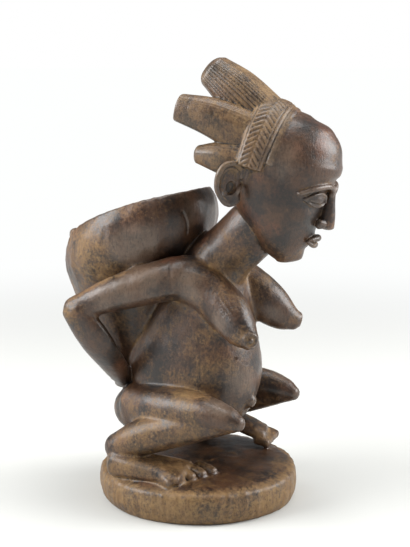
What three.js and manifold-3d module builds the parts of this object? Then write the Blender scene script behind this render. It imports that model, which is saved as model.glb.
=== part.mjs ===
// A squatting woman who carries a bowl on her back, carved with her round base from one block of wood.
// Millimetres, +Z up. She faces -Y, her right side is at -X, and the origin is the middle of the
// base's underside. Every form is a loft along a short path, and all forms are joined into one solid.

import * as THREE from "three";
import { LoftGeometry } from "three/addons/geometries/LoftGeometry.js";
import { mergeVertices } from "three/addons/utils/BufferGeometryUtils.js";
import Module from "manifold-3d";

const wasm = await Module();
wasm.setup();

// Driving sizes of the base and the bowl
const BASE_RADIUS = 98;
const BASE_TOP = 37;
const BOWL_RADIUS = 83;
const BOWL_WALL = 9;

// The head leans forward and is turned a little to her left, about the middle of the skull
const HEAD_CENTRE = [0, -86, 333];
const HEAD_TILT = THREE.MathUtils.degToRad(17);
const HEAD_TURN = THREE.MathUtils.degToRad(14);

const WOOD = new THREE.MeshStandardMaterial({ color: 0x3d2b21, roughness: 0.45, metalness: 0 });

// Turns a closed geometry into a solid that can be joined and cut
function solid(geometry) {
  const bare = new THREE.BufferGeometry();
  bare.setAttribute("position", geometry.attributes.position);
  bare.setIndex(geometry.index);
  const merged = mergeVertices(bare, 1e-4);
  return new wasm.Manifold(new wasm.Mesh({
    numProp: 3,
    vertProperties: Float32Array.from(merged.attributes.position.array),
    triVerts: Uint32Array.from(merged.index.array),
  }));
}

// Carves a form along a path. A station is [x, y, z, half width, half height]; the section is a
// superellipse square to the path, with its height towards `up`. `power` 2 is an ellipse and more
// is squarer. `ends` gives how far the rounded start and end stand out past the stations.
function carve(stations, { up = [0, 0, 1], steps = 2, sides = 12, power = 2, ends = [8, 8] } = {}) {
  const curve = (points) => new THREE.CatmullRomCurve3(points, false, "catmullrom", 0.5);
  const centres = curve(stations.map(([x, y, z]) => new THREE.Vector3(x, y, z)));
  const sizes = curve(stations.map((station) => new THREE.Vector3(station[3], station[4], 0)));
  const bulge = (value) => Math.sign(value) * Math.abs(value) ** (2 / power);
  const ring = (t, shift, scale) => {
    const along = centres.getTangent(t);
    const side = new THREE.Vector3(...up).cross(along).normalize();
    const top = along.clone().cross(side);
    const middle = centres.getPoint(t).addScaledVector(along, shift);
    const size = sizes.getPoint(t).multiplyScalar(scale);
    return Array.from({ length: sides }, (_, k) => {
      const angle = (2 * Math.PI * k) / sides;
      return middle.clone()
        .addScaledVector(side, bulge(Math.cos(angle)) * size.x)
        .addScaledVector(top, bulge(Math.sin(angle)) * size.y);
    });
  };
  const roundings = [[0.6, 0.8], [0.95, 0.35]];
  const count = (stations.length - 1) * steps;
  const rings = [
    ...roundings.map(([reach, scale]) => ring(0, -ends[0] * reach, scale)).reverse(),
    ...Array.from({ length: count + 1 }, (_, k) => ring(k / count, 0, 1)),
    ...roundings.map(([reach, scale]) => ring(1, ends[1] * reach, scale)),
  ];
  return new LoftGeometry(rings, { closed: true, capStart: true, capEnd: true });
}

// Two forms: one given for her right side, and its mirror image on her left
function carvePair(stations, options = {}) {
  const [upX, upY, upZ] = options.up ?? [0, 0, 1];
  const mirrored = stations.map(([x, ...rest]) => [-x, ...rest]);
  return [carve(stations, options), carve(mirrored, { ...options, up: [-upX, upY, upZ] })];
}

function base() {
  const profile = [
    [0, 0], [BASE_RADIUS - 2, 0], [BASE_RADIUS + 1, 2], [BASE_RADIUS + 5, 12], [BASE_RADIUS + 5, 21],
    [BASE_RADIUS + 2, 29], [BASE_RADIUS - 5, BASE_TOP - 2], [BASE_RADIUS - 18, BASE_TOP], [0, BASE_TOP + 1],
  ].map(([radius, height]) => new THREE.Vector2(radius, height));
  return [new THREE.LatheGeometry(profile, 32).rotateX(Math.PI / 2)];
}

function trunk() {
  const torso = carve([
    [0, 30, 88, 48, 44], [0, 14, 114, 51, 68], [0, 2, 145, 52, 70],
    [0, -6, 180, 48, 56], [0, -14, 212, 45, 40], [0, -18, 236, 44, 28],
  ], { up: [0, -1, 0], sides: 16, power: 2.4, ends: [14, 14] });
  const buttocks = carvePair([[-26, 10, 94, 28, 26], [-27, 48, 91, 29, 27]], { ends: [6, 33] });
  const navel = carve([[0, -50, 112, 9, 9], [0, -61, 105, 7, 7]], { steps: 1, sides: 8, ends: [2, 5] });
  const breasts = carvePair([[-26, -22, 228, 20, 22], [-35, -50, 209, 19, 23], [-44, -74, 189, 12, 13]],
    { ends: [6, 13] });
  return [torso, navel, ...buttocks, ...breasts];
}

function legs() {
  const thighs = carvePair([[-42, 42, 100, 20, 22], [-54, 6, 104, 20, 20], [-61, -38, 107, 18, 17],
    [-62, -72, 103, 12, 12]], { ends: [10, 14] });
  const shins = carvePair([[-72, 52, 60, 15, 15], [-70, 26, 73, 17, 18], [-65, -12, 86, 16, 17],
    [-62, -60, 97, 12, 12]], { ends: [14, 12] });
  return [...thighs, ...shins];
}

// A toe from its root to its tip
function toe(x, y, z, spread, length) {
  return carve([[x * spread, y + length, z + 3, 5, 5], [x, y, z, 5, 4.5]],
    { steps: 1, sides: 6, ends: [2, 4] });
}

// Her right foot lies flat and fans out; her left one arches up off the base and rests on its toes
function feet() {
  const rightFoot = carve([[-77, 50, 46, 16, 13], [-74, 28, 45, 19, 11], [-66, 2, 43, 24, 9],
    [-59, -14, 41, 28, 6]], { ends: [10, 3] });
  const leftFoot = carve([[74, 50, 46, 16, 13], [70, 24, 54, 16, 11], [66, -6, 60, 17, 8],
    [68, -28, 54, 19, 7], [74, -39, 48, 20, 7]], { ends: [10, 3] });
  const toes = Array.from({ length: 5 }, (_, k) => [
    toe(-87 + 12.5 * k, -13 - 5.5 * k, 38, 0.9, 16),
    toe(92 - 8 * k, -43 - 1.5 * k, 42, 0.97, 12),
  ]).flat();
  return [rightFoot, leftFoot, ...toes];
}

// Her hands hold the foot of the bowl behind her back
function arms() {
  const upper = carvePair([[-36, -14, 238, 20, 22], [-58, 12, 231, 18, 20], [-79, 50, 218, 15, 17],
    [-96, 86, 203, 11, 13]], { ends: [8, 14] });
  const lower = carvePair([[-96, 86, 202, 11, 15], [-83, 71, 171, 11, 19], [-60, 68, 144, 10, 16],
    [-32, 72, 120, 9, 9]], { up: [0, -1, 0], ends: [10, 8] });
  return [...upper, ...lower];
}

// The bowl's sections tilt with its rim, which rises towards her neck and stands a little higher at
// its two sides: [y, z, radius, tilt in degrees, rise of the sides]
function bowlLoft(sections) {
  const sides = 24;
  return new LoftGeometry(sections.map(([y, z, radius, tilt, rise = 0]) => {
    const lean = THREE.MathUtils.degToRad(tilt);
    return Array.from({ length: sides }, (_, k) => {
      const angle = (2 * Math.PI * k) / sides;
      const back = radius * Math.sin(angle);
      const height = z - back * Math.sin(lean) + rise * Math.cos(angle) ** 2;
      return new THREE.Vector3(radius * Math.cos(angle), y + back * Math.cos(lean), height);
    });
  }), { closed: true, capStart: true, capEnd: true });
}

function bowl() {
  const r = BOWL_RADIUS;
  return [bowlLoft([
    [72, 104, 14, 0], [74, 118, 25, 3], [76, 150, 41, 8], [76, 190, 57, 12], [73, 228, 71, 15],
    [70, 250, r - 3, 17], [68, 267, r, 19], [68, 281, r - 2, 21, 3], [68, 291, r - 8, 22, 6],
  ]), carve([[-28, 128, 268, 11, 7], [-42, 118, 274, 9, 6]], { steps: 1, sides: 8, ends: [6, 8] })];
}

function bowlHollow() {
  const r = BOWL_RADIUS - BOWL_WALL;
  return bowlLoft([
    [76, 148, 14, 10], [76, 160, 32, 11], [76, 192, 48, 12], [73, 228, 62, 15],
    [70, 250, r - 3, 17], [68, 267, r, 19], [68, 281, r - 3, 21, 3], [66, 303, r - 6, 22, 6],
  ]);
}

function neck() {
  return [carve([[0, -12, 238, 31, 31], [0, -38, 260, 29, 29], [0, -70, 290, 29, 29]],
    { up: [0, -1, 0], sides: 14, ends: [10, 10] })];
}

// Face and skull in the head's own frame: she looks along -Y and the skull's middle is the origin
function head() {
  const skull = carve([
    [0, -34, -68, 17, 15], [0, -27, -54, 29, 25], [0, -19, -36, 38, 35], [0, -9, -12, 45, 47],
    [0, -1, 12, 48, 58], [0, -1, 34, 45, 59], [0, -1, 52, 36, 46], [0, 0, 61, 24, 31],
  ], { up: [0, -1, 0], sides: 16, ends: [7, 8] });
  const nose = carve([[0, -53, 6, 4, 5], [0, -57, -14, 6, 8], [0, -59, -27, 9, 10]],
    { up: [0, -1, 0], sides: 8, ends: [4, 4] });
  const lips = [[-41, -48], [-48, -45]].map(([z, y]) => carve(
    [[-12, y, z, 5, 3], [0, y - 6, z, 6, 3.6], [12, y, z, 5, 3]], { steps: 1, sides: 6, ends: [3, 3] }));
  const eyes = carvePair([[-31, -43, -3, 4, 3], [-20, -50, -3, 6, 7], [-9, -53, -3, 4, 3]],
    { steps: 1, sides: 8, ends: [2, 2] });
  const ears = carvePair([[-48, 26, 16, 5, 11], [-52, 30, -2, 5, 17], [-46, 17, -25, 5, 10]],
    { up: [-0.6, 0.8, 0], sides: 8, ends: [6, 6] });
  return [skull, nose, ...lips, ...eyes, ...ears];
}

// A broad band over the crown from ear to ear, and behind it five lobes of dressed hair
function hair() {
  const band = carve(Array.from({ length: 11 }, (_, k) => {
    const angle = Math.PI * (-0.06 + (1.12 * k) / 10);
    return [-46 * Math.cos(angle), 19, 6 + 60 * Math.sin(angle), 9, 13 + 4 * Math.sin(angle)];
  }), { up: [0, -1, 0], steps: 1, sides: 8, power: 3, ends: [2, 2] });
  const topLobe = carve([[0, 28, 52, 28, 24], [0, 60, 68, 27, 22], [0, 87, 79, 21, 17]],
    { power: 2.4, ends: [6, 10] });
  const sideLobes = carvePair([[-22, 30, 34, 20, 22], [-28, 70, 39, 17, 17], [-28, 104, 38, 14, 12]],
    { sides: 10, power: 2.8, ends: [6, 3] });
  const lowLobes = carvePair([[-32, 22, 10, 16, 20], [-36, 50, 8, 13, 15], [-34, 71, 4, 9, 9]],
    { sides: 10, power: 2.4, ends: [6, 5] });
  return [band, topLobe, ...sideLobes, ...lowLobes];
}

// Puts a form from the head's own frame on top of the neck
function placeHead(geometry) {
  return geometry.rotateX(HEAD_TILT).rotateZ(HEAD_TURN).translate(...HEAD_CENTRE);
}

function join(geometries) {
  return geometries.map(solid).reduce((whole, next) => whole.add(next));
}

function meshOf(manifold) {
  const data = manifold.getMesh();
  const geometry = new THREE.BufferGeometry();
  geometry.setAttribute("position", new THREE.BufferAttribute(Float32Array.from(data.vertProperties), 3));
  geometry.setIndex(new THREE.BufferAttribute(Uint32Array.from(data.triVerts), 1));
  geometry.computeVertexNormals();
  return geometry;
}

const carving = join([
  ...base(), ...trunk(), ...legs(), ...feet(), ...arms(), ...bowl(), ...neck(),
  ...[...head(), ...hair()].map(placeHead),
]).subtract(solid(bowlHollow()));

const figure = new THREE.Mesh(meshOf(carving), WOOD);
figure.name = "squatting_figure";

const part = new THREE.Group();
part.add(figure);

export default part;
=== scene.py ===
# A squatting woman who carries a bowl on her back, carved with her round base from one block of wood.
# Blender 4.5. Forms are worked out in millimetres with numpy and become metres when the piece is made.
# She faces -Y and her right side is at -X. The head has a frame of its own: it looks along -Y and its
# origin is the middle of the skull.

import math
import bpy
import numpy as np
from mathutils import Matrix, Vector


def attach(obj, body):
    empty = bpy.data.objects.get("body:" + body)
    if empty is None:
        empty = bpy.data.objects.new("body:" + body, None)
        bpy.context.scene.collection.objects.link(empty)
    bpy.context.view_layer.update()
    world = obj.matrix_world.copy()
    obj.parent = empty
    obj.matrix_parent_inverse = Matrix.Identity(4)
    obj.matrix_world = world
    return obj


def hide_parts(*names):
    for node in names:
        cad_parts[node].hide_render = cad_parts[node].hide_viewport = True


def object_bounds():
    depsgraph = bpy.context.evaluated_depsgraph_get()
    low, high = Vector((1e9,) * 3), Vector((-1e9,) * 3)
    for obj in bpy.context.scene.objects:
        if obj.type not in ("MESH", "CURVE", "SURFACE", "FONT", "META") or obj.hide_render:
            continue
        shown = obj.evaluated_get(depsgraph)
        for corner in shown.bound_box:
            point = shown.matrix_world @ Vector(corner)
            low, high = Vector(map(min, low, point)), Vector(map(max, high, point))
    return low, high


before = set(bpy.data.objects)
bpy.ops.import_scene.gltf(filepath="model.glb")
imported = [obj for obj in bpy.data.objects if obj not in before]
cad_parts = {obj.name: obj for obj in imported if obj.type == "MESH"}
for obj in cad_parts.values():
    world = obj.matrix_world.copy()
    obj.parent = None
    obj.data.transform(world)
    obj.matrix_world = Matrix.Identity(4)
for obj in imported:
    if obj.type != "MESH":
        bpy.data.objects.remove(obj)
cadLow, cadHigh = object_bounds()
coarser = 1.0
print("frame loaded")


def pathThrough(points, t):
    # Uniform Catmull-Rom: each span is the cubic through its two points whose slopes are half the
    # chord of the neighbours; the path runs on straight past its first and last point
    points = np.asarray(points, float)
    run = np.vstack([2 * points[0] - points[1], points, 2 * points[-1] - points[-2]])
    span = np.clip(np.floor(t).astype(int), 0, len(points) - 2)
    f = (t - span)[:, None]
    a, b, c, d = (run[span + i] for i in range(4))
    place = b + 0.5 * f * ((c - a) + f * ((2 * a - 5 * b + 4 * c - d) + f * (3 * (b - c) + d - a)))
    slope = 0.5 * (c - a) + f * (2 * a - 5 * b + 4 * c - d) + 1.5 * f * f * (3 * (b - c) + d - a)
    return place, slope


def unit(v):
    return v / np.maximum(np.linalg.norm(v, axis=-1, keepdims=True), 1e-9)


def gridFaces(rings, sides):
    # Quads between neighbouring rings, and one flat face that closes each end
    i, j = np.meshgrid(np.arange(rings - 1), np.arange(sides), indexing="ij")
    k = (j + 1) % sides
    quads = np.stack([i * sides + j, i * sides + k, (i + 1) * sides + k, (i + 1) * sides + j], -1)
    ends = [list(range(sides))[::-1], [(rings - 1) * sides + s for s in range(sides)]]
    return quads.reshape(-1, 4).tolist() + ends


def carve(stations, up=(0, 0, 1), sides=48, rings=48, power=2.0, ends=(8, 8), ridges=(), relief=None):
    # A superellipse carried along a path. A station is x, y, z, half width, half height. Round the
    # ring, width = sign(cos a)|cos a|^(2/power) and height the same with sin a; past the first and
    # last station the section shrinks as a quarter ellipse. A ridge [degrees, rise, spread] lifts the
    # section where a is near its angle; relief(length, angle) gives what is carved off, in mm.
    stations = np.asarray(stations, float)
    spans = len(stations) - 1
    cap = np.sin(np.linspace(0, np.pi / 2, 9)[1:]) * 0.998
    t = np.concatenate([np.zeros(8), np.linspace(0, spans, rings), np.full(8, float(spans))])
    reach = np.concatenate([-cap[::-1], np.zeros(rings), cap])
    shift = np.where(reach < 0, reach * ends[0], reach * ends[1])
    place, slope = pathThrough(stations[:, :3], t)
    size = pathThrough(stations[:, 3:5], t)[0] * np.sqrt(1 - reach ** 2)[:, None]
    along = unit(slope)
    side = unit(np.cross(np.asarray(up, float), along))
    top = np.cross(along, side)
    angle = np.linspace(0, 2 * np.pi, sides, endpoint=False)
    lift = np.ones(sides)
    for degrees, rise, spread in ridges:
        away = np.angle(np.exp(1j * (angle - math.radians(degrees))))
        lift += rise * np.exp(-(np.abs(away) / math.radians(spread)) ** 1.4)
    wide = np.sign(np.cos(angle)) * np.abs(np.cos(angle)) ** (2 / power) * lift
    high = np.sign(np.sin(angle)) * np.abs(np.sin(angle)) ** (2 / power) * lift
    length = np.concatenate([[0], np.cumsum(np.linalg.norm(np.diff(place, axis=0), axis=1))]) + shift
    cut = 0 if relief is None else relief(length[:, None], np.degrees(angle)[None, :])
    shrink = 1 - cut / np.maximum(size.mean(1), 4)[:, None]
    grid = (place + along * shift[:, None])[:, None, :] + shrink[..., None] * (
        side[:, None, :] * (size[:, :1] * wide)[..., None] + top[:, None, :] * (size[:, 1:] * high)[..., None])
    return grid.reshape(-1, 3), gridFaces(len(t), sides)


def mirrored(form, shift=(0, 0, 0)):
    points, faces = form
    return points * [-1, 1, 1] + shift, [face[::-1] for face in faces]


def carvePair(stations, **options):
    form = carve(stations, **options)
    return [form, mirrored(form)]


def meshFrom(name, forms):
    points, faces, first = [], [], 0
    for formPoints, formFaces in forms:
        points.append(formPoints)
        faces += [[first + k for k in face] for face in formFaces]
        first += len(formPoints)
    mesh = bpy.data.meshes.new(name)
    mesh.from_pydata(np.vstack(points).tolist(), [], faces)
    mesh.update()
    return mesh


def objectWith(mesh):
    item = bpy.data.objects.new(mesh.name, mesh)
    bpy.context.scene.collection.objects.link(item)
    return item


def finished(item, *others):
    # The item's mesh with its modifiers worked in; the working objects are cleared away
    bpy.context.view_layer.update()
    mesh = bpy.data.meshes.new_from_object(item.evaluated_get(bpy.context.evaluated_depsgraph_get()))
    mesh.name = item.name
    for old in (item, *others):
        bpy.data.objects.remove(old)
    return mesh


def oneSkin(name, forms, voxel, hollow=None):
    # Overlapping forms become one closed skin of small even quads; the hollow is cut out of it
    item = objectWith(meshFrom(name, forms))
    skin = item.modifiers.new("skin", "REMESH")
    skin.mode, skin.voxel_size = "VOXEL", voxel
    if hollow is None:
        return finished(item)
    tool = objectWith(meshFrom(name + "Hollow", [hollow]))
    cut = item.modifiers.new("cut", "BOOLEAN")
    cut.operation, cut.solver, cut.object = "DIFFERENCE", "MANIFOLD", tool
    again = item.modifiers.new("again", "REMESH")
    again.mode, again.voxel_size = "VOXEL", voxel
    return finished(item, tool)


class Skin:
    # Points, edges and normals of a mesh as arrays
    def __init__(self, mesh):
        self.mesh, self.count = mesh, len(mesh.vertices)
        self.points = np.empty(self.count * 3, np.float32)
        mesh.vertices.foreach_get("co", self.points)
        self.points = self.points.reshape(-1, 3).astype(float)
        pairs = np.empty(len(mesh.edges) * 2, np.int32)
        mesh.edges.foreach_get("vertices", pairs)
        self.a, self.b = pairs.reshape(-1, 2).T
        self.degree = np.maximum(np.bincount(self.a, minlength=self.count)
                                 + np.bincount(self.b, minlength=self.count), 1)

    def averaged(self, values):
        total = (np.bincount(self.a, values[self.b], self.count)
                 + np.bincount(self.b, values[self.a], self.count))
        return total / self.degree

    def normals(self):
        self.store()
        found = np.empty(self.count * 3, np.float32)
        self.mesh.vertex_normals.foreach_get("vector", found)
        return found.reshape(-1, 3).astype(float)

    def store(self):
        self.mesh.vertices.foreach_set("co", self.points.astype(np.float32).ravel())
        self.mesh.update()

    def relax(self, times, share=0.5):
        # Each point moves part of the way to the middle of its neighbours
        for _ in range(times):
            middle = np.stack([self.averaged(self.points[:, k]) for k in range(3)], 1)
            self.points += (middle - self.points) * np.reshape(share, (-1, 1))

    def fill(self, times, share):
        # As relax, but only outwards: hollows and creases fill up, and what stands out stays
        normals = self.normals()
        for k in range(times):
            if k % 8 == 7:
                normals = self.normals()
            middle = np.stack([self.averaged(self.points[:, k]) for k in range(3)], 1)
            out = np.maximum(((middle - self.points) * normals).sum(1), 0)
            self.points += normals * (out * share)[:, None]

    def raised(self, amount):
        self.points += self.normals() * amount[:, None]

    def tag(self, name, values):
        layer = self.mesh.attributes.new(name, "FLOAT", "POINT")
        layer.data.foreach_set("value", np.clip(values, 0, 1).astype(np.float32))


def drift(points, size, seed):
    # Smooth random values from -1 to 1: a lattice of seeded numbers `size` mm apart, blended between
    # its eight corners by the smooth step 3f^2 - 2f^3
    table = np.random.default_rng(seed).random((24, 24, 24)) * 2 - 1
    cell = points / size + 100
    low = np.floor(cell).astype(int)
    f = cell - low
    f = f * f * (3 - 2 * f)
    total = np.zeros(len(points))
    for corner in np.ndindex(2, 2, 2):
        share = np.prod(np.where(corner, f, 1 - f), axis=1)
        total += share * table[tuple(((low + corner) % 24).T)]
    return total


def scallops(points, size, seed):
    # Shallow tool marks: 0 at the middle of each mark and 1 where two marks meet. Marks are the cells
    # of scattered points, one to each cube of `size` mm; the value is nearest over second nearest.
    offsets = np.random.default_rng(seed).random((16, 16, 16, 3))
    cell = points / np.asarray(size) + 64
    low = np.floor(cell).astype(int)
    near = np.full(len(points), 9.0)
    second = near.copy()
    for step in np.ndindex(3, 3, 3):
        at = low + np.array(step) - 1
        gap = ((at + offsets[tuple((at % 16).T)] - cell) ** 2).sum(1)
        second = np.where(gap < near, near, np.minimum(second, gap))
        near = np.minimum(near, gap)
    return near / second


def hump(points, centre, sizes):
    # 1 at the centre and fading as a bell to 0 over the sizes, in mm
    return np.exp(-(((points - centre) / sizes) ** 2).sum(1))


def lineGap(points, line):
    # Distance from each point to a chain of straight pieces
    line = np.asarray(line, float)
    best = np.full(len(points), 1e9)
    for start, end in zip(line[:-1], line[1:]):
        run = end - start
        t = np.clip((points - start) @ run / (run @ run), 0, 1)
        best = np.minimum(best, np.linalg.norm(points - start - t[:, None] * run, axis=1))
    return best


def step(value, low, high):
    t = np.clip((value - low) / (high - low), 0, 1)
    return t * t * (3 - 2 * t)


head = {
    "centre": (0, -86, 333),
    "tiltDegrees": 17,
    "turnDegrees": 14,
    "socketDepth": 4.0,
    "earMiddle": (-49.5, 32, -11),
    "hairGroove": 3.6,       # spacing of the grooves along the lobes, mm
    "hairGrooveDepth": 1.3,
    "chevron": 5.0,          # spacing of the herringbone cuts along the band, mm
    "chevronDepth": 1.5,
    "voxel": 0.62 * coarser,
}
tilt, turn = math.radians(head["tiltDegrees"]), math.radians(head["turnDegrees"])
headTurn = (np.array([[math.cos(turn), -math.sin(turn), 0], [math.sin(turn), math.cos(turn), 0], [0, 0, 1]])
            @ np.array([[1, 0, 0], [0, math.cos(tilt), -math.sin(tilt)], [0, math.sin(tilt), math.cos(tilt)]]))


def fromHead(points):
    return points @ headTurn.T + head["centre"]


def toHead(points):
    return (points - head["centre"]) @ headTurn


def skull():
    # An egg of stacked ellipses, pressed in or out by bells in its front view: [x, z, width, height,
    # depth], where depth is how far the front goes back
    points, faces = carve([
        [0, -35, -70, 14, 12], [0, -31, -62, 23, 20], [0, -24, -48, 32, 30], [0, -16, -30, 40, 40],
        [0, -9, -12, 45, 47.5], [0, -3, 8, 48, 56], [0, -1, 26, 47.5, 58], [0, -1, 42, 42, 53],
        [0, -0.5, 54, 33.5, 43], [0, 0, 62, 23.5, 31], [0, 0, 67, 12, 16],
    ], up=(0, -1, 0), sides=140, rings=130, ends=(4, 1.4))
    front = step(-points[:, 1], 8, 34)
    presses = [
        [20, -2, 12, 9, head["socketDepth"]], [0, 2, 7, 6, 1.2], [29, -21, 10, 8, -2.2],
        [25, -43, 9, 10, 1.8], [0, -45, 15, 10, -2.6], [0, -66, 10, 7, -2.6], [0, -56.5, 9, 3.2, 1.4],
    ]
    for x, z, wide, high, depth in presses:
        for centre in {x, -x}:
            bell = np.exp(-((points[:, 0] - centre) / wide) ** 2 - ((points[:, 2] - z) / high) ** 2)
            points[:, 1] += depth * bell * front
    return points, faces


def face():
    brows = carvePair([[-39, -34, 1, 3, 2.2], [-30, -44.8, 8, 3.6, 2.8], [-17, -53.4, 11.5, 3.6, 2.8],
                       [-7, -57, 8.5, 3.2, 2.8], [-3, -57, 2, 3, 2.6]], rings=60, ends=(4, 3))
    eyes = carvePair([[-32.5, -38.2, -4, 2.2, 2], [-27, -42, -3.2, 4.8, 5.2], [-20, -46.6, -3, 6, 6.8],
                      [-13, -49.4, -3.2, 4.8, 5.4], [-8, -52, -4, 2.4, 2.2]], rings=60, ends=(2, 2))
    upperLids = carvePair([[-34, -38.6, -4.4, 1.2, 1], [-28, -45.4, 1.2, 1.5, 1.3], [-20, -50.4, 3.6, 1.6, 1.4],
                           [-12.5, -53.4, 1.2, 1.5, 1.3], [-7, -54.6, -4.6, 1.2, 1]], rings=70, ends=(2, 2))
    lowerLids = carvePair([[-34, -38.6, -4.8, 1.1, 0.9], [-28, -44.6, -8.2, 1.3, 1.1], [-20, -49.6, -9.8, 1.4, 1.2],
                           [-13, -52.6, -8.4, 1.3, 1.1], [-7, -54.6, -4.8, 1.1, 0.9]], rings=70, ends=(2, 2))
    nose = carve([[0, -55.5, 7, 3.4, 4], [0, -57, -4, 4.4, 5.2], [0, -59, -17, 6, 7.3], [0, -60.3, -28, 7.2, 8.4]],
                 up=(0, -1, 0), ends=(5, 4), ridges=[(90, 0.05, 26)])
    wings = carvePair([[-5.5, -57, -26.5, 5.5, 5.2], [-9, -55, -27, 4.2, 4.8]], ends=(4, 3))
    upperLip = carve([[-14, -51, -45.4, 1.5, 1.2], [-9, -53.6, -43.4, 2.8, 2.5], [-3.2, -56.4, -42, 3.6, 3.3],
                      [0, -56.6, -42.6, 3.5, 3.1], [3.2, -56.4, -42, 3.6, 3.3], [9, -53.6, -43.4, 2.8, 2.5],
                      [14, -51, -45.4, 1.5, 1.2]], rings=60, ends=(2, 2))
    lowerLip = carve([[-13, -50.8, -46.4, 1.5, 1.2], [-7, -54, -48.2, 3, 2.9], [0, -55.8, -49, 3.6, 3.5],
                      [7, -54, -48.2, 3, 2.9], [13, -50.8, -46.4, 1.5, 1.2]], rings=60, ends=(2, 2))
    return [*brows, *eyes, *upperLids, *lowerLids, nose, *wings, upperLip, lowerLip]


def ears():
    # A thin upright plate, with a rolled rim that runs round it as a C, and a small flap in front
    out, back, lift = np.array([-0.8, -0.6, 0]), np.array([-0.6, 0.8, 0]), np.array([0, 0, 1])
    middle = np.array(head["earMiddle"])

    def onEar(across, height, proud, half):
        return [*(middle + across * back + height * lift + proud * out), half, half]

    plate = carvePair([[*(middle + [3, -4, 15]), 3, 9], [*(middle + [-0.5, 1.5, 5]), 3.2, 14],
                       [*(middle + [1, -3, -8]), 3.2, 12], [*(middle + [4, -8, -16]), 3, 8]],
                      up=(-0.6, 0.8, 0), ends=(4, 4))
    rim = carvePair([onEar(-9, 9, 2, 2.4), onEar(-7, 16, 2.4, 2.5), onEar(1, 20, 2.6, 2.7),
                     onEar(10, 17, 2.6, 2.8), onEar(14, 7, 2.6, 2.9), onEar(12, -5, 2.4, 2.7),
                     onEar(6, -13, 2.2, 2.7), onEar(-2, -18, 2.2, 3.2), onEar(-8, -16, 2, 2.8)],
                    rings=110, sides=28, up=(-0.8, -0.6, 0.02), ends=(2, 3))
    flap = carvePair([onEar(-11, 0, 1.5, 2.2), onEar(-9.5, -4, 2.6, 2.8), onEar(-9.5, -9, 1.5, 2.2)],
                     up=(-0.8, -0.6, 0.02), sides=24, rings=24, ends=(2, 2))
    return [*plate, *rim, *flap]


def groovesAlong(first, last, half, share=1.0):
    # Grooves that run along a lobe between two angles round it: a rounded V every few mm of girth
    count = math.radians(last - first) * half / head["hairGroove"]

    def cut(length, angle):
        away = (angle - first) % 360
        wave = np.abs(np.sin(np.pi * away / (last - first) * round(count)))
        inside = step(away, 0, 6) * (1 - step(away, last - first - 6, last - first))
        start = step(length, 4, 12)
        return share * head["hairGrooveDepth"] * (1 - wave) ** 1.5 * inside * start
    return cut


def both(*cuts):
    return lambda length, angle: sum(cut(length, angle) for cut in cuts)


def hair():
    near, far = groovesAlong(-34, 62, 26), groovesAlong(118, 214, 26)
    topLobe = carve([[0, 28, 52, 28, 24], [0, 60, 68, 27, 22], [0, 87, 79, 21, 17]],
                    power=2.4, ends=(6, 10), sides=300, rings=150, relief=both(near, far),
                    ridges=[(-40, 0.05, 12), (220, 0.05, 12)])
    upper = groovesAlong(14, 128, 18, 0.45)
    sideLobe = carve([[-22, 30, 35, 20, 23], [-28, 70, 40.5, 17.5, 18.5], [-28, 104, 39.5, 14.5, 13.5]],
                     power=2.8, ends=(6, 3), sides=240, rings=150, relief=upper,
                     ridges=[(6, 0.06, 10), (-46, 0.04, 12)])
    ridged = groovesAlong(24, 150, 14, 0.7)
    lowLobes = carvePair([[-32, 22, 10, 16, 20], [-36, 50, 8, 13, 15], [-34, 71, 4, 9, 9]],
                         power=2.4, ends=(6, 5), sides=200, rings=110, relief=ridged,
                         ridges=[(10, 0.08, 12), (-60, 0.06, 14), (120, 0.05, 14)])
    return [topLobe, sideLobe, mirrored(sideLobe, (0, -3, -6)), *lowLobes]


def headband():
    # An arch over the crown: a squarish section carried round half an ellipse from ear to ear. Its
    # outer face has two raised borders and herringbone cuts, slanted from a middle line each way.
    arc = np.pi * (0.02 + 0.96 * np.linspace(0, 1, 23))
    stations = np.stack([-46 * np.cos(arc), np.full(23, 19.0), 6 + 60 * np.sin(arc),
                         np.full(23, 9.0), 13 + 4 * np.sin(arc)], 1)

    def pattern(length, angle):
        # the section's sin runs across the band, and its cos is outwards
        turn = np.radians(angle)
        width = np.sign(np.sin(turn)) * np.abs(np.sin(turn)) ** (2 / 3)
        outer = step(np.cos(turn), 0.1, 0.4)
        slanted = (length + 11 * np.abs(width)) / head["chevron"]
        cuts = (1 - np.abs(np.sin(np.pi * slanted))) * step(0.66 - np.abs(width), 0, 0.06)
        lines = sum(np.exp(-((np.abs(width) - at) / 0.04) ** 2) for at in (0.0, 0.74))
        return outer * head["chevronDepth"] * np.maximum(cuts, 0.8 * lines)

    band = carve(stations, up=(0, -1, 0), sides=260, rings=420, power=3, ends=(2, 2), relief=pattern)
    lip = carve([[*s[:1], 1.5, s[2], 5.2, 4.6] for s in stations[1:-1]], up=(0, -1, 0), sides=48,
                rings=160, power=2.4, ends=(2, 2))
    return [band, lip]


print("carving the head")
headSkin = Skin(oneSkin("head", [skull(), *face(), *ears(), *hair(), *headband()], head["voxel"]))
headSkin.relax(1, 0.5)
headSkin.fill(14, 0.7 * step(-headSkin.points[:, 1], 24, 34))


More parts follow.
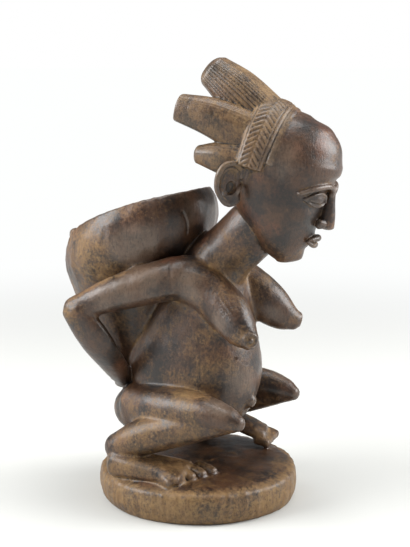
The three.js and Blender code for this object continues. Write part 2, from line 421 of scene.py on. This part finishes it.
def engraveFace(skin):
    # Cuts that are finer than the forms: eye slits, the mouth line, nostrils, and the hollow of each ear
    p, depth = skin.points, np.zeros(skin.count)
    x, y, z = np.abs(p[:, 0]), p[:, 1], p[:, 2]
    front = step(-y, 30, 38)
    slit = -5.6 - 1.5 * (1 - ((x - 20) / 12) ** 2)
    depth -= 1.1 * front * np.exp(-((z - slit) / 0.8) ** 2) * step(12 - np.abs(x - 20), 0, 2)
    mouth = -45.9 + 0.8 * np.cos(x * 0.45)
    depth -= 1.3 * front * np.exp(-((z - mouth) / 0.9) ** 2) * step(14.5 - x, 0, 2)
    at = np.stack([x, y, z], 1)
    depth -= 2.6 * hump(at, [4.4, -61, -33], [2.3, 3.4, 2.6])
    depth -= 0.7 * hump(at, [0, -56, -36.5], [1.6, 6, 3.4])
    depth -= 0.7 * hump(at, [15, -51, -45.5], [2.2, 5, 2.2])
    away = np.stack([-x, y, z], 1) - head["earMiddle"]
    across, proud = away @ [-0.6, 0.8, 0], away @ [-0.8, -0.6, 0]
    shell = ((across - 1.5) / 8.5) ** 2 + ((away[:, 2] - 2) / 13.5) ** 2
    deep = ((across + 2) / 5.5) ** 2 + ((away[:, 2] + 3) / 7) ** 2
    onEar = step(proud, -2, 1) * step(x, 40, 44)
    depth -= onEar * (1.4 * step(1 - shell, 0, 0.35) + 2.2 * step(1 - deep, 0, 0.5))
    skin.raised(depth)


engraveFace(headSkin)
headSkin.relax(1, 0.3)
headSkin.points = fromHead(headSkin.points)
headSkin.store()

body = {
    "voxel": 1.15 * coarser,
    "baseRadius": 98,
    "baseTop": 37,
    "bowlRadius": 83,
    "bowlWall": 9,
    "softShoulders": 46,     # rounds of filling where limbs flow into the trunk
    "toolMark": 0.35,        # depth of the tool marks, mm
    "armCut": 28.0,          # how far the cut lies outwards and back from the middle of the body, mm
}

# forms that wear marks are placed on as well: x, y, z, half width and half height of each station, mm,
# of the right-hand one where there are two
shapes = {
    "torso": [[0, 30, 88, 48, 44], [0, 14, 114, 51, 68], [0, 2, 145, 52, 70],
              [0, -6, 180, 48, 56], [0, -14, 212, 45, 40], [0, -18, 236, 44, 28]],
    "breast": [[-52, 4, 232, 15, 17], [-42, -12, 230, 18, 20], [-35, -32, 221, 19.5, 22],
               [-37, -54, 205, 19.5, 22.5], [-44, -72, 190, 16, 17.5], [-50, -85, 182, 9.5, 10]],
    "thigh": [[-38, 50, 96, 23, 24], [-53, 8, 103, 21, 21], [-61, -38, 107, 18, 17],
              [-62, -66, 104, 13.5, 13], [-61.5, -80, 101, 7.5, 7.5]],
    "shin": [[-72, 52, 60, 15, 15], [-70, 26, 73, 17, 18], [-65, -12, 86, 16, 17],
             [-62, -52, 96, 12.5, 12.5], [-61.5, -74, 98, 6.5, 6.5]],
    "upperArm": [[-14, -30, 226, 15, 16], [-35, -12, 233, 18.5, 20.5], [-58, 13, 230, 17.5, 19.5],
                 [-79, 50, 218, 14.5, 16.5], [-96, 86, 203, 10, 12]],
    "forearm": [[-96, 86, 202, 11, 15], [-83, 71, 171, 11, 19], [-60, 68, 144, 10, 16],
                [-32, 72, 120, 9, 9]],
}


def placeOn(form, share, way):
    # A place on a form's skin, folded to x >= 0: a share of the way from its first station to its last,
    # then out from the middle by the half width and height there. The way is outwards, back and up.
    rows = np.array(shapes[form], float)
    middle = pathThrough(rows, np.array([share * (len(rows) - 1)]))[0][0]
    return middle[:3] * [-1, 1, 1] + unit(np.array(way, float)) * middle[[3, 4, 4]]


def base():
    # A lathe turned about +Z: radius and height from the profile, the radius swaying a little
    r, top = body["baseRadius"], body["baseTop"]
    profile = np.array([[2, 0], [r - 3, 0], [r, 0.6], [r + 2.6, 4], [r + 4.8, 11], [r + 5.4, 18], [r + 4.8, 25],
                        [r + 3.6, 29], [r + 1.4, 31.2], [r - 5, 33.6], [r - 14, 35.6], [r - 30, top - 0.4],
                        [r - 60, top + 0.4], [2, top + 0.6]])
    ring = pathThrough(profile, np.linspace(0, len(profile) - 1, 120))[0]
    angle = np.linspace(0, 2 * np.pi, 200, endpoint=False)
    sway = 1 + 0.006 * np.sin(3 * angle + 1) + 0.004 * np.sin(7 * angle) - 0.008
    radius = ring[:, :1] * sway
    grid = np.stack([radius * np.cos(angle), radius * np.sin(angle), ring[:, 1:] + 0 * radius], -1)
    return grid.reshape(-1, 3), gridFaces(120, 200)


def trunk():
    torso = carve(shapes["torso"], up=(0, -1, 0), sides=96, rings=80, power=2.3, ends=(14, 14))
    buttocks = carvePair([[-26, 10, 94, 28, 26], [-30, 46, 92, 29, 27]], sides=64, ends=(6, 34))
    navel = carve([[0, -50, 112, 9, 9], [0, -61, 105, 7.4, 7.4]], sides=32, rings=12, ends=(2, 5))
    breasts = carvePair(shapes["breast"], sides=72, rings=90, ends=(6, 6.5))
    return [torso, navel, *buttocks, *breasts]


def legs():
    thighs = carvePair(shapes["thigh"], sides=72, rings=80, ends=(10, 5.5),
                       ridges=[(8, 0.05, 14), (80, 0.05, 12)], power=2.1)
    shins = carvePair(shapes["shin"], sides=72, rings=80, ends=(14, 5), ridges=[(-40, 0.06, 14)], power=2.1)
    return [*thighs, *shins]


def toe(x, y, z, spread, length):
    return carve([[x * spread, y + length, z + 3, 5.2, 5], [x * (spread + 1) / 2, y + length / 2, z + 2, 5.2, 5.2],
                  [x, y, z, 4.8, 4.5]], sides=24, rings=24, ends=(2, 2.5), power=3)


def feet():
    rightFoot = carve([[-77, 50, 46, 16, 13], [-74, 28, 45, 19, 11], [-66, 2, 43, 24, 9],
                       [-60, -18, 41, 29, 6]], sides=72, ends=(10, 3), power=3, ridges=[(78, 0.14, 12)])
    leftFoot = carve([[74, 50, 46, 16, 13], [70, 24, 54, 16, 11], [66, -6, 60, 17, 8],
                      [69, -26, 54, 18, 8.5], [75, -38, 48, 19, 8]], sides=72, ends=(10, 3), power=2.4)
    toes = [toe(-88 + 12.4 * k, -19 - 5.2 * k, 38.5, 0.92, 22) for k in range(5)]
    toes += [toe(91 - 8 * k, -45 - 1.5 * k, 42.5, 0.97, 14) for k in range(5)]
    return [rightFoot, leftFoot, *toes]


def arms():
    upper = carvePair(shapes["upperArm"], sides=72, rings=90, ends=(8, 12),
                      ridges=[(100, 0.16, 9), (-24, 0.07, 14)])
    lower = carvePair(shapes["forearm"], up=(0, -1, 0), sides=72, ends=(10, 8),
                      ridges=[(90, 0.06, 14), (-90, 0.06, 14)], power=2.2)
    fingers = []
    for height, girth in ((131, 34), (124, 31), (117, 27), (110, 22)):
        turns = np.radians([4, 26, 48, 68])
        path = np.stack([-girth * np.cos(turns), 74 + girth * np.sin(turns), height - 2 * np.sin(turns),
                         [4.4, 4.2, 4, 3.5], [3.9, 3.8, 3.7, 3.3]], 1)
        fingers += carvePair(path, sides=24, rings=30, ends=(3, 3.5))
    return [*upper, *lower, *fingers]


def neck():
    column = carve([[0, -12, 238, 31, 31], [0, -38, 260, 29, 29], [0, -70, 290, 29, 29]],
                   up=(0, -1, 0), sides=80, ends=(10, 10))
    collar = carve([[0, -14, 236, 33.5, 33.5], [0, -27, 249.5, 31.6, 31.6], [0, -34, 256, 29.4, 29.4]],
                   up=(0, -1, 0), sides=80, rings=24, ends=(1.5, 1))
    return [column, collar]


def bowlGrid(sections, facets):
    # Tilted rings [y, z, radius, tilt in degrees, rise of the two sides] with a smooth run between
    # them. Round the ring the radius follows flat adzed facets: cos(pi/n) over the cosine of the
    # angle from the facet's middle.
    rows = np.array([(*s, 0)[:5] for s in sections], float)
    y, z, radius, lean, rise = pathThrough(rows, np.linspace(0, len(rows) - 1, 110))[0].T[:, :, None]
    angle = np.linspace(0, 2 * np.pi, 220, endpoint=False)
    lean = np.radians(lean)
    part = 2 * np.pi / facets
    swayed = angle + 0.05 * np.sin(5 * angle) + 0.03 * np.sin(11 * angle + 2)
    flat = np.cos(part / 2) / np.cos((swayed % part) - part / 2)
    radius = radius * (0.4 + 0.6 * flat) if facets else radius
    back = radius * np.sin(angle)
    height = z - back * np.sin(lean) + rise * np.cos(angle) ** 2
    grid = np.stack([radius * np.cos(angle), y + back * np.cos(lean), height], -1)
    return grid.reshape(-1, 3), gridFaces(110, 220)


def bowlOutside():
    r = body["bowlRadius"]
    return [[72, 104, 14, 0], [74, 118, 25, 3], [76, 150, 41, 8], [76, 190, 57, 12], [73, 228, 71, 15],
            [70, 250, r - 3, 17], [68, 267, r, 19], [68, 281, r - 2, 21, 3], [68, 291, r - 8, 22, 6]]


def placeOnBowl(degrees, height):
    # A place on the bowl's outside: degrees round it from +X towards +Y, on the ring whose middle is at
    # that height
    y, rings, radius, lean = np.array([ring[:4] for ring in bowlOutside()], float).T
    y, radius, lean = (np.interp(height, rings, values) for values in (y, radius, np.radians(lean)))
    back = radius * math.sin(math.radians(degrees))
    return np.array([radius * math.cos(math.radians(degrees)), y + back * math.cos(lean),
                     height - back * math.sin(lean)])


def bowl():
    shell = bowlGrid(bowlOutside(), 19)
    lug = carve([[-28, 127, 266, 11, 7], [-55, 107, 272, 10, 6]], sides=40, rings=20, ends=(6, 6), power=2.8)
    return [shell, lug]


def bowlHollow():
    r = body["bowlRadius"] - body["bowlWall"]
    return bowlGrid([
        [76, 148, 14, 10], [76, 160, 32, 11], [76, 192, 48, 12], [73, 228, 62, 15],
        [70, 250, r - 3, 17], [68, 267, r, 19], [68, 281, r - 3, 21, 3], [66, 303, r - 6, 22, 6],
    ], 23)


print("carving the body")
bodySkin = Skin(oneSkin("body", [base(), *trunk(), *legs(), *feet(), *arms(), *neck(), *bowl()],
                        body["voxel"], bowlHollow()))


def softenBody(skin):
    # Voxel steps go, limbs flow into the trunk, and creases elsewhere stay as crisp as a knife left them
    skin.relax(3, 0.5)
    p = np.abs(skin.points * [1, 0, 0]) + skin.points * [0, 1, 1]
    soft = (hump(p, [46, -4, 230], [26, 26, 24]) + 0.9 * hump(p, [28, -40, 205], [26, 26, 30])
            + 0.7 * hump(p, [0, -30, 150], [60, 60, 50]) + 0.5 * hump(p, [96, 84, 200], [14, 14, 14])
            + 1.2 * hump(p, [48, 44, 98], [26, 34, 22]) + hump(p, [62, -64, 101], [16, 16, 14])
            + 0.8 * hump(p, [76, 52, 52], [14, 14, 12]))
    crisp = step(lineGap(skin.points, [[0, -14, 236], [0, -34, 256]]), 30, 40)
    share = 0.8 * np.clip(soft, 0.06, 1) * np.clip(crisp, 0.05, 1)
    skin.fill(body["softShoulders"], share)
    skin.relax(2, 0.5)


def weatherBody(skin):
    # Tool marks all over, deeper on the bowl and the base, a swaying surface, and the finer cuts
    p = skin.points
    radial = np.hypot(p[:, 0], p[:, 1])
    baseSide = step(radial, 88, 98) * step(40 - p[:, 2], 0, 4) * step(p[:, 2], 1, 5)
    onBowl = step(p[:, 2] + 0.35 * (p[:, 1] - 70), 215, 235) * step(p[:, 1], -5, 20)
    marks = scallops(p, [13, 13, 17], 3) - 0.5
    amount = body["toolMark"] * marks * (0.7 + 0.8 * onBowl)
    amount += 0.45 * drift(p, 26, 5) + 0.12 * drift(p, 6, 6)
    turn = np.arctan2(p[:, 1], p[:, 0])
    rings = np.stack([turn * 98 / 3.4, p[:, 2] / 30, 0 * turn], 1)
    amount += baseSide * (0.45 * drift(rings, 1.0, 8) + 0.3 * drift(rings * [0.4, 1, 1], 1.0, 9))
    q = np.abs(p * [1, 0, 0]) + p * [0, 1, 1]
    # a cut across the upper arm where the shoulder ends
    alongArm = q @ [0.5, 0.866, 0] - body["armCut"]
    onArm = step(26 - lineGap(q, [[35, -12, 233], [58, 13, 230], [96, 86, 203]]), 0, 2) * step(q[:, 0], 50, 60)
    onArm *= step(q[:, 2], 224, 232)
    amount -= 0.9 * onArm * np.exp(-(alongArm / 1.4) ** 2)
    # a ringed knob for each nipple, and rows of small dots beside it
    gap = np.linalg.norm(q - [54, -88, 183], axis=1)
    amount += (2.2 * np.exp(-(gap / 2.3) ** 2) - 1.3 * np.exp(-((gap - 4.2) / 1.1) ** 2)
               + 0.9 * np.exp(-((gap - 6.6) / 1.3) ** 2))
    dots = np.sin(2 * np.pi * (q[:, 0] - q[:, 1]) / 4.6) * np.sin(2 * np.pi * q[:, 2] / 3.6)
    amount += 0.7 * dots * (hump(q, placeOn("breast", 0.65, (6, -3, 6)), [14, 14, 12])
                            + hump(q, placeOn("breast", 0.80, (9, 0, -4)), [8, 8, 6]))
    # the broken lug's hole and ragged face, and an old split beside the bowl's dark middle
    amount -= 3.2 * hump(p, [-48, 111, 280], [3.4, 3.4, 4])
    amount += 0.9 * drift(p, 3.5, 12) * hump(p, [-42, 118, 270], [26, 16, 16])
    split = [placeOnBowl(245, 273), placeOnBowl(248, 264), placeOnBowl(250, 254)]
    amount -= 1.4 * np.exp(-(lineGap(p, split) / 1.3) ** 2)
    skin.raised(amount)


softenBody(bodySkin)
weatherBody(bodySkin)
bodySkin.relax(1, 0.25)
bodySkin.store()

carving = {
    "triangles": 190000,
    # patches that hands reach, with real polish under a painted grey sheen, a highlight laid in colour, that
    # gather dust, and that are painted shade, darker for less dust, alike on both sides of her. On the bowl:
    # degrees round it, height, and the patch's size in mm. On a form: the share of the way along it, the way
    # out from its middle (outwards, back and up), and the size.
    "handledAndSheen": {
        "bowl": [(-30, 250, 20), (-20, 258, 18), (-35, 262, 16), (-75, 272, 18)],
        "upperArm": [(0.25, (6, -6, -5), 13), (0.37, (7, -7, 2), 16), (0.50, (10, 0, 2), 15),
                     (0.63, (10, 1, 1), 16), (0.78, (10, 1, -1), 15)],
        "breast": [(0.60, (9, -1, -4), 13), (0.78, (-9, -1, 1), 12)],
        "thigh": [(0.70, (5, 0, 8), 15)],
        "torso": [(0.33, (4, -9, 0), 22)],
    },
    "dusty": {
        "bowl": [(-15, 235, 26), (15, 268, 26)],
        "upperArm": [(1.00, (8, 6, -1), 10)],
        "thigh": [(0.40, (6, 0, 8), 28)],
        "shin": [(0.30, (8, 0, 6), 28)],
    },
    "shaded": {
        "bowl": [(-72, 258, 26), (-52, 242, 20)],
        "upperArm": [(0.43, (6, -5, 4), 9)],
        "forearm": [(0.42, (0, 0, 0), 24), (0.90, (0, 0, 0), 22)],
    },
}


def joined(first, second):
    item, tool = objectWith(first), objectWith(second)
    union = item.modifiers.new("union", "BOOLEAN")
    union.operation, union.solver, union.object = "UNION", "MANIFOLD", tool
    return finished(item, tool)


print("joining head and body")
whole = Skin(joined(bodySkin.mesh, headSkin.mesh))
print("points before thinning", whole.count)


def gathered(points, patches):
    # The patches laid together, each a bell round its place
    total = np.zeros(len(points))
    for form, marks in patches.items():
        for *where, size in marks:
            place = placeOnBowl(*where) if form == "bowl" else placeOn(form, *where)
            total += hump(points, place, size)
    return total


def tagWood(skin):
    # Where dust lies, where hands have polished and a grey sheen is painted on as a highlight, where the wood
    # is reddish and how deep a place lies between its neighbours, which is painted as shade, each from 0 to 1.
    # How far a point would move when the skin is relaxed a little or a lot tells a small cut from a large
    # hollow; it grows with the mesh's edge squared.
    p, normals = skin.points.copy(), skin.normals()
    edge = ((p[skin.a] - p[skin.b]) ** 2).sum(1)
    spacing = (np.bincount(skin.a, edge, skin.count) + np.bincount(skin.b, edge, skin.count)) / skin.degree
    gain = 1.3 / np.maximum(spacing, 0.2)
    skin.relax(4)
    small = ((skin.points - p) * normals).sum(1) * gain
    skin.relax(50)
    large = ((skin.points - p) * normals).sum(1) * gain
    skin.points = p
    h = toHead(p)
    q = np.abs(p * [1, 0, 0]) + p * [0, 1, 1]
    x, y, z = p.T
    radial, up = np.hypot(x, y), normals[:, 2]
    onHead = step(62 - np.linalg.norm((h - [0, -4, 0]) / [1, 1.1, 1.25], axis=1), 0, 4)
    lobes = step(h[:, 1], 30, 38) * step(h[:, 2], -22, -12)
    lobes = np.maximum(lobes, step(h[:, 1], 22, 30) * step(h[:, 2], 44, 54))
    arch = np.hypot(h[:, 0] / 46, (h[:, 2] - 6) / 60)
    band = step(h[:, 1], -5, -3) * step(38 - h[:, 1], 0, 3) * step(arch, 1.05, 1.09) * step(h[:, 2], -4, 4)
    foot = step(62 - z, 0, 14) * step(z, 38, 42)
    side = step(radial, 90, 97) * step(38 - z, 0, 4)
    floor = step(z, 34, 36) * step(42 - z, 0, 3)
    ridge = np.exp(-(lineGap(q, [[40, -6, 256], [60, 13, 250], [80, 50, 235], [98, 84, 215]]) / 3) ** 2)
    # the temple's grey patch is a painted highlight laid over real polish
    temple = hump(np.abs(h * [1, 0, 0]) + h * [0, 1, 1], [44, -10, 28], [16, 20, 22])
    crown = hump(h, [0, -30, 56], [28, 26, 16])
    handledAndSheen = np.clip(gathered(q, carving["handledAndSheen"]) + temple, 0, 1)
    # the shaded patches take dust away so the brown there reads darker: painted shade in the bowl's middle, at the
    # cut across the upper arm and inside the forearm
    dust = (0.42 + 0.20 * band + (0.12 + 0.16 * up) * lobes + 0.26 * foot + 0.40 * side + 0.30 * ridge
            - 0.22 * onHead * (1 - band) * (1 - lobes) + floor * (0.24 * step(radial, 66, 90) - 0.12)
            + 0.20 * hump(p, [0, -36, 246], [40, 32, 24]) + 0.30 * gathered(q, carving["dusty"])
            - 0.40 * gathered(q, carving["shaded"]) - 0.30 * handledAndSheen + 0.14 * drift(p, 30, 20))
    cut = np.maximum(band, lobes)
    dust += (0.36 - 0.46 * cut) * step(small, 0.05, 0.35)
    dust += 0.26 * step(large, 0.4, 2.4) - 0.18 * step(-large, 0.4, 2.4)
    # real polish and a painted sheen: handled patches, raised places and upward faces get the grey coat, a
    # highlight painted in colour
    wornAndSheen = 0.75 * handledAndSheen + 0.30 * step(-large, 0.3, 2.2) + 0.35 * step(-small, 0.06, 0.3) + 0.10 * step(up, 0, 0.8)
    rust = 1.0 * crown + 0.5 * ridge + 0.6 * step(drift(p, 18, 31), 0.0, 0.7)
    skin.tag("dust", dust)
    skin.tag("polishAndSheen", wornAndSheen)
    skin.tag("rust", rust)
    skin.tag("hair", cut)
    # small cuts and large hollows, where the material paints shade near black
    skin.tag("hollow", step(small, 0.10, 0.6) * (0.55 + 0.4 * cut) + step(large, 1.4, 6.0) * 0.8)


def intoMetres(skin):
    # The piece keeps inside the solid's box
    low, high = np.array(cadLow) * 1000 + 0.05, np.array(cadHigh) * 1000 - 0.05
    skin.points = np.clip(skin.points, low, high) / 1000
    skin.store()


print("tagging the wood")
tagWood(whole)
intoMetres(whole)
figure = objectWith(whole.mesh)
figure.name = "carved_figure"
thin = figure.modifiers.new("thin", "DECIMATE")
thin.ratio = carving["triangles"] / (len(whole.mesh.loops) - 2 * len(whole.mesh.polygons))
mesh = finished(figure)
mesh.shade_smooth()
figure = objectWith(mesh)
figure.name = "carved_figure"
print("triangles", len(mesh.loops) - 2 * len(mesh.polygons))

wood = {
    "dark": "#1e1510",
    "brown": "#4c3321",
    "rust": "#6e3f27",
    "dust": "#7e5f38",
    "paleDust": "#94784d",
    "hair": "#7a6549",
    # the grey below is a painted sheen, a highlight laid in colour over real polish
    "polishAndSheen": "#857465",
    # the near black below is painted shade in creases and hollows, and the dark of small pits in the wood
    "hollow": "#120b07",
    "roughness": 0.40,
    # noises: size in mm, detail, roughness, and how far they are drawn out along the upright log
    "noises": {"mottle": (30, 8, 0.64, 1), "ragged": (15, 10, 0.68, 1.3), "patch": (7, 6, 0.6, 1),
               "speck": (3.0, 5, 0.7, 1), "pits": (1.7, 3, 0.6, 1.6), "grain": (1.6, 3, 0.55, 7)},
    # coats, laid one over the other: the fields they depend on with their weights, where a coat starts
    # and is whole, how much it covers at most, and its colour
    "coats": [
        ({"mottle": 1.0, "speck": 0.4}, 0.58, 0.78, 0.95, "brown"),
        ({"rust": 0.5, "ragged": 1.0, "speck": 0.3}, 0.86, 1.20, 0.60, "rust"),
        # a painted grey sheen, standing for a highlight, where the wood is polished
        ({"polishAndSheen": 0.8, "ragged": 0.9, "speck": 0.3}, 0.82, 1.36, 0.50, "polishAndSheen"),
        ({"dust": 1.0, "ragged": 1.6, "speck": 1.0}, 1.68, 2.20, 0.80, "dust"),
        ({"dust": 0.8, "patch": 1.4, "speck": 1.2}, 1.86, 2.36, 0.55, "paleDust"),
        ({"hair": 1.0, "patch": 0.8}, 1.1, 1.7, 0.35, "hair"),
        ({"grain": -1.0, "pits": -0.6, "patch": -0.4}, -0.98, -0.70, 0.50, "dark"),
        ({"pits": -1.0, "speck": -0.6, "ragged": -0.4, "polishAndSheen": -0.2}, -0.96, -0.74, 0.50, "hollow"),
        # painted shade: creases and hollows laid near black
        ({"hollow": 1.0}, 0.05, 0.7, 0.92, "hollow"),
    ],
}


def linear(hexColour):
    # sRGB to linear: below 0.04045 a division, above it the power 2.4
    values = [int(hexColour[k:k + 2], 16) / 255 for k in (1, 3, 5)]
    return (*[v / 12.92 if v <= 0.04045 else ((v + 0.055) / 1.055) ** 2.4 for v in values], 1)


def addNode(tree, kind, inputs=None, **settings):
    # A node with its settings; an input is a value or another node's output socket
    node = tree.nodes.new(kind)
    for name, value in settings.items():
        setattr(node, name, value)
    for name, value in (inputs or {}).items():
        if isinstance(value, bpy.types.NodeSocket):
            tree.links.new(value, node.inputs[name])
        else:
            node.inputs[name].default_value = value
    return node


def patinatedWood():
    # Hardwood carved by adze and knife, oiled and handled for years: near black where the oil sank in, grey where
    # hands polish it, with a grey sheen painted on there as a highlight, ochre dust dried into every cut and over
    # whatever nobody touches, and near black painted shade in its creases and hollows
    material = bpy.data.materials.new("handled_carved_hardwood")
    material.use_nodes = True
    tree = material.node_tree
    tree.nodes.clear()
    place = addNode(tree, "ShaderNodeTexCoord").outputs["Object"]
    fields = {}
    for name in ("dust", "polishAndSheen", "rust", "hollow", "hair"):
        fields[name] = addNode(tree, "ShaderNodeAttribute", attribute_name=name).outputs["Fac"]
    for name, (size, detail, roughness, stretch) in wood["noises"].items():
        scale = 1000 / size
        mapped = addNode(tree, "ShaderNodeMapping", {"Vector": place, "Scale": (scale, scale, scale / stretch)})
        fields[name] = addNode(tree, "ShaderNodeTexNoise", {
            "Vector": mapped.outputs["Vector"], "Scale": 1.0, "Detail": detail,
            "Roughness": roughness}).outputs["Fac"]

    def weighed(sources, total=0.0):
        # The sum of each field times its weight
        for name, weight in sources.items():
            total = addNode(tree, "ShaderNodeMath", {0: fields[name], 1: weight, 2: total},
                            operation="MULTIPLY_ADD").outputs[0]
        return total

    colour = linear(wood["dark"])
    for sources, start, whole, most, tint in wood["coats"]:
        share = addNode(tree, "ShaderNodeMapRange", {
            "Value": weighed(sources), "From Min": start, "From Max": whole, "To Max": most}).outputs["Result"]
        colour = addNode(tree, "ShaderNodeMix", {0: share, 6: colour, 7: linear(wood[tint])},
                         data_type="RGBA").outputs[2]
        fields[tint + "Laid"] = share
    # dust is dull and polish is shiny
    rough = weighed({"dustLaid": 0.30, "paleDustLaid": 0.1, "polishAndSheenLaid": -0.22, "speck": 0.24},
                    wood["roughness"] - 0.12)
    height = weighed({"grain": 0.5, "speck": 0.8, "pits": 0.5, "patch": 1.0, "dustLaid": 0.3})
    bump = addNode(tree, "ShaderNodeBump", {"Height": height, "Strength": 0.45, "Distance": 0.0008})
    shader = addNode(tree, "ShaderNodeBsdfPrincipled", {
        "Base Color": colour, "Roughness": rough, "Normal": bump.outputs["Normal"], "IOR": 1.5,
        "Coat Weight": 0.22, "Coat Roughness": 0.24})
    addNode(tree, "ShaderNodeOutputMaterial", {"Surface": shader.outputs["BSDF"]})
    return material


mesh.materials.clear()
mesh.materials.append(patinatedWood())
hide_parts("squatting_figure")
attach(figure, "root")
print("wood laid on")

studio = {
    "cameraAzimuth": -60.0,   # degrees round the object from its front
    "cameraDistance": 1.207,
    "cameraHeight": 0.451,
    "pitchDown": 10.30,
    "turnAside": 0.2997,
    "lens": 79.3,
    "table": "#cdcecb",
    "worldLight": 0.26,
    "sideBoxes": 36,
    "topBox": 14,
}


def tableTop():
    # A wide round sheet: radius and angle are the two parameters
    radius = np.concatenate([[0.001], np.geomspace(0.05, 40, 40)])
    angle = np.linspace(0, 2 * np.pi, 96, endpoint=False)
    grid = np.stack([radius[:, None] * np.cos(angle), radius[:, None] * np.sin(angle),
                     0 * radius[:, None] + 0 * angle], -1)
    sheet = bpy.data.meshes.new("studio_floor")
    sheet.from_pydata(grid.reshape(-1, 3).tolist(), [], gridFaces(len(radius), 96)[:-2])
    sheet.update()
    return objectWith(sheet)


def whiteTable():
    # Matt white card under the object that runs out into lit white paper
    material = bpy.data.materials.new("matt_white_card")
    material.use_nodes = True
    tree = material.node_tree
    card = tree.nodes["Principled BSDF"]
    card.inputs["Base Color"].default_value = linear(studio["table"])
    card.inputs["Roughness"].default_value = 0.9
    card.inputs["Specular IOR Level"].default_value = 0.1
    place = addNode(tree, "ShaderNodeTexCoord").outputs["Object"]
    gap = addNode(tree, "ShaderNodeVectorMath", {0: place}, operation="LENGTH").outputs["Value"]
    share = addNode(tree, "ShaderNodeMapRange", {"Value": gap, "From Min": 0.25, "From Max": 1.5},
                    interpolation_type="SMOOTHERSTEP").outputs["Result"]
    paper = addNode(tree, "ShaderNodeEmission", {"Color": (0.99, 1.0, 0.995, 1), "Strength": 1.0})
    mix = addNode(tree, "ShaderNodeMixShader", {0: share, 1: card.outputs["BSDF"], 2: paper.outputs["Emission"]})
    tree.links.new(mix.outputs["Shader"], tree.nodes["Material Output"].inputs["Surface"])
    return material


floor = tableTop()
floor.data.materials.append(whiteTable())

azimuth = math.radians(studio["cameraAzimuth"])
back = Vector((math.sin(azimuth), -math.cos(azimuth), 0))
camera = bpy.data.objects.new("camera", bpy.data.cameras.new("camera"))
bpy.context.scene.collection.objects.link(camera)
camera.data.sensor_width, camera.data.lens = 36, studio["lens"]
camera.location = back * studio["cameraDistance"] + Vector((0, 0, studio["cameraHeight"]))
ahead = azimuth - math.radians(studio["turnAside"])
pitch = math.radians(studio["pitchDown"])
gaze = Vector((-math.sin(ahead) * math.cos(pitch), math.cos(ahead) * math.cos(pitch), -math.sin(pitch)))
camera.rotation_mode = "QUATERNION"
camera.rotation_quaternion = gaze.to_track_quat("-Z", "Y")
bpy.context.scene.camera = camera


def softBox(name, place, size, watts):
    lamp = bpy.data.lights.new(name, "AREA")
    lamp.shape, lamp.size, lamp.energy = "SQUARE", size, watts
    item = bpy.data.objects.new(name, lamp)
    bpy.context.scene.collection.objects.link(item)
    item.location = place
    item.visible_camera = False
    item.rotation_mode = "QUATERNION"
    item.rotation_quaternion = (Vector((0, 0, 0.22)) - item.location).to_track_quat("-Z", "Y")


# a soft box on either side of the object as the camera sees it, both a little towards the camera, and
# one overhead; the camera's own side stays dim
aside = Vector((math.cos(azimuth), math.sin(azimuth), 0))
softBox("left_box", aside * -1.3 + back * 0.25 + Vector((0, 0, 0.95)), 1.1, studio["sideBoxes"])
softBox("right_box", aside * 1.3 + back * 0.05 + Vector((0, 0, 0.85)), 1.0, studio["sideBoxes"] * 0.8)
softBox("top_box", Vector((0.1, 0, 1.7)), 0.9, studio["topBox"])

world = bpy.data.worlds.new("studio")
bpy.context.scene.world = world
world.use_nodes = True
sky = world.node_tree
backdrop = sky.nodes["Background"]
backdrop.inputs["Color"].default_value = (1, 1, 1, 1)
# the camera sees white paper; what the object receives from it is weaker
seen = addNode(sky, "ShaderNodeLightPath").outputs["Is Camera Ray"]
strength = addNode(sky, "ShaderNodeMapRange", {"Value": seen, "To Min": studio["worldLight"], "To Max": 1.0})
sky.links.new(strength.outputs["Result"], backdrop.inputs["Strength"])
bpy.context.scene.view_settings.view_transform = "Standard"
print("studio ready")
